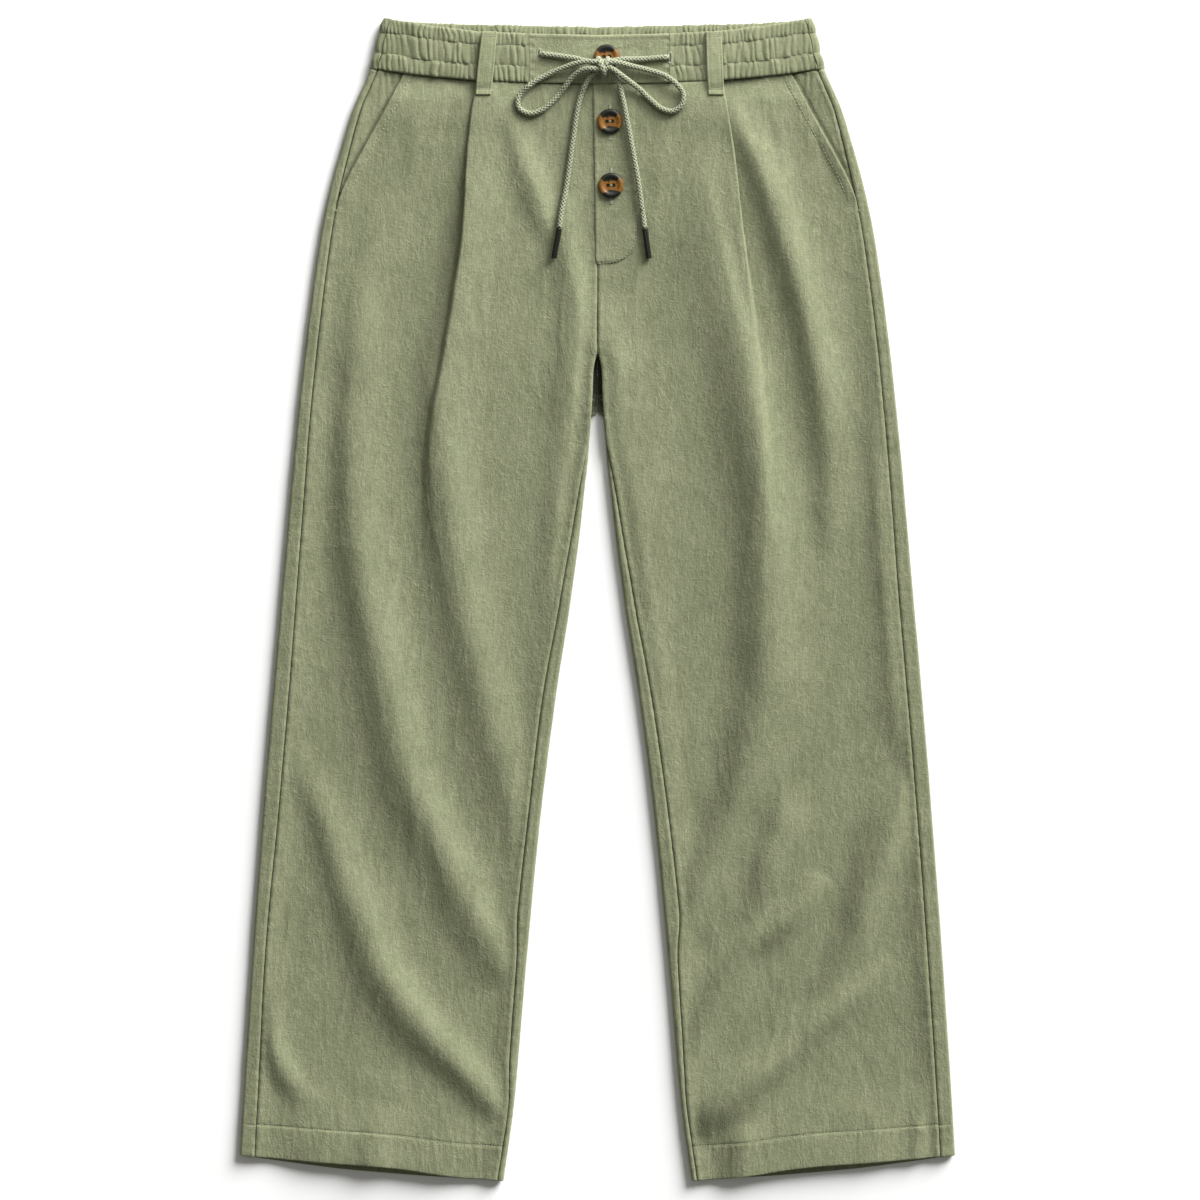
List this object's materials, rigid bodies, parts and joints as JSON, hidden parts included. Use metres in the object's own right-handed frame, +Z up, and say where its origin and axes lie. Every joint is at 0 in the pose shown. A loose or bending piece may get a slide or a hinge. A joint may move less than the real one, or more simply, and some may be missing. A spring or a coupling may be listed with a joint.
{
  "type": "linen drawstring trousers, laid flat",
  "caption": "Wide straight-leg linen trousers laid flat, with an elasticated drawstring waist, pleats, slanted pockets, belt loops and a buttoned fly.",
  "frame": {"origin": "centre of the garment's box, on the surface that it lies on", "axes": "+Y from the hems to the waist, +X to the wearer's left, +Z up from the surface, out of the front of the garment"},
  "size_m": [0.6254, 1.0164, 0.026],
  "materials": {
    "linen": "washed sage-green linen, plain weave with slubs",
    "cord": "round braided cotton cord, pale sage",
    "tip": "near-black ribbed tip",
    "button": "tortoiseshell, amber with dark mottling"
  },
  "bodies": {
    "root": {"front_right": "linen", "front_left": "linen", "back_right": "linen", "back_left": "linen", "pocket_facing_right": "linen", "pocket_facing_left": "linen", "fly_placket": "linen", "waistband_centre": "linen", "waistband_right": "linen", "waistband_left": "linen", "waistband_back": "linen", "belt_loop_right": "linen", "belt_loop_left": "linen", "drawstring_lead_right": "cord", "drawstring_lead_left": "cord", "drawstring_loop_right": "cord", "drawstring_loop_left": "cord", "drawstring_tail_right": "cord", "drawstring_tail_left": "cord", "drawstring_knot": "cord", "cord_tip_right": "tip", "cord_tip_left": "tip", "button_top": "button", "button_middle": "button", "button_lower": "button"}
  },
  "joints": []
}
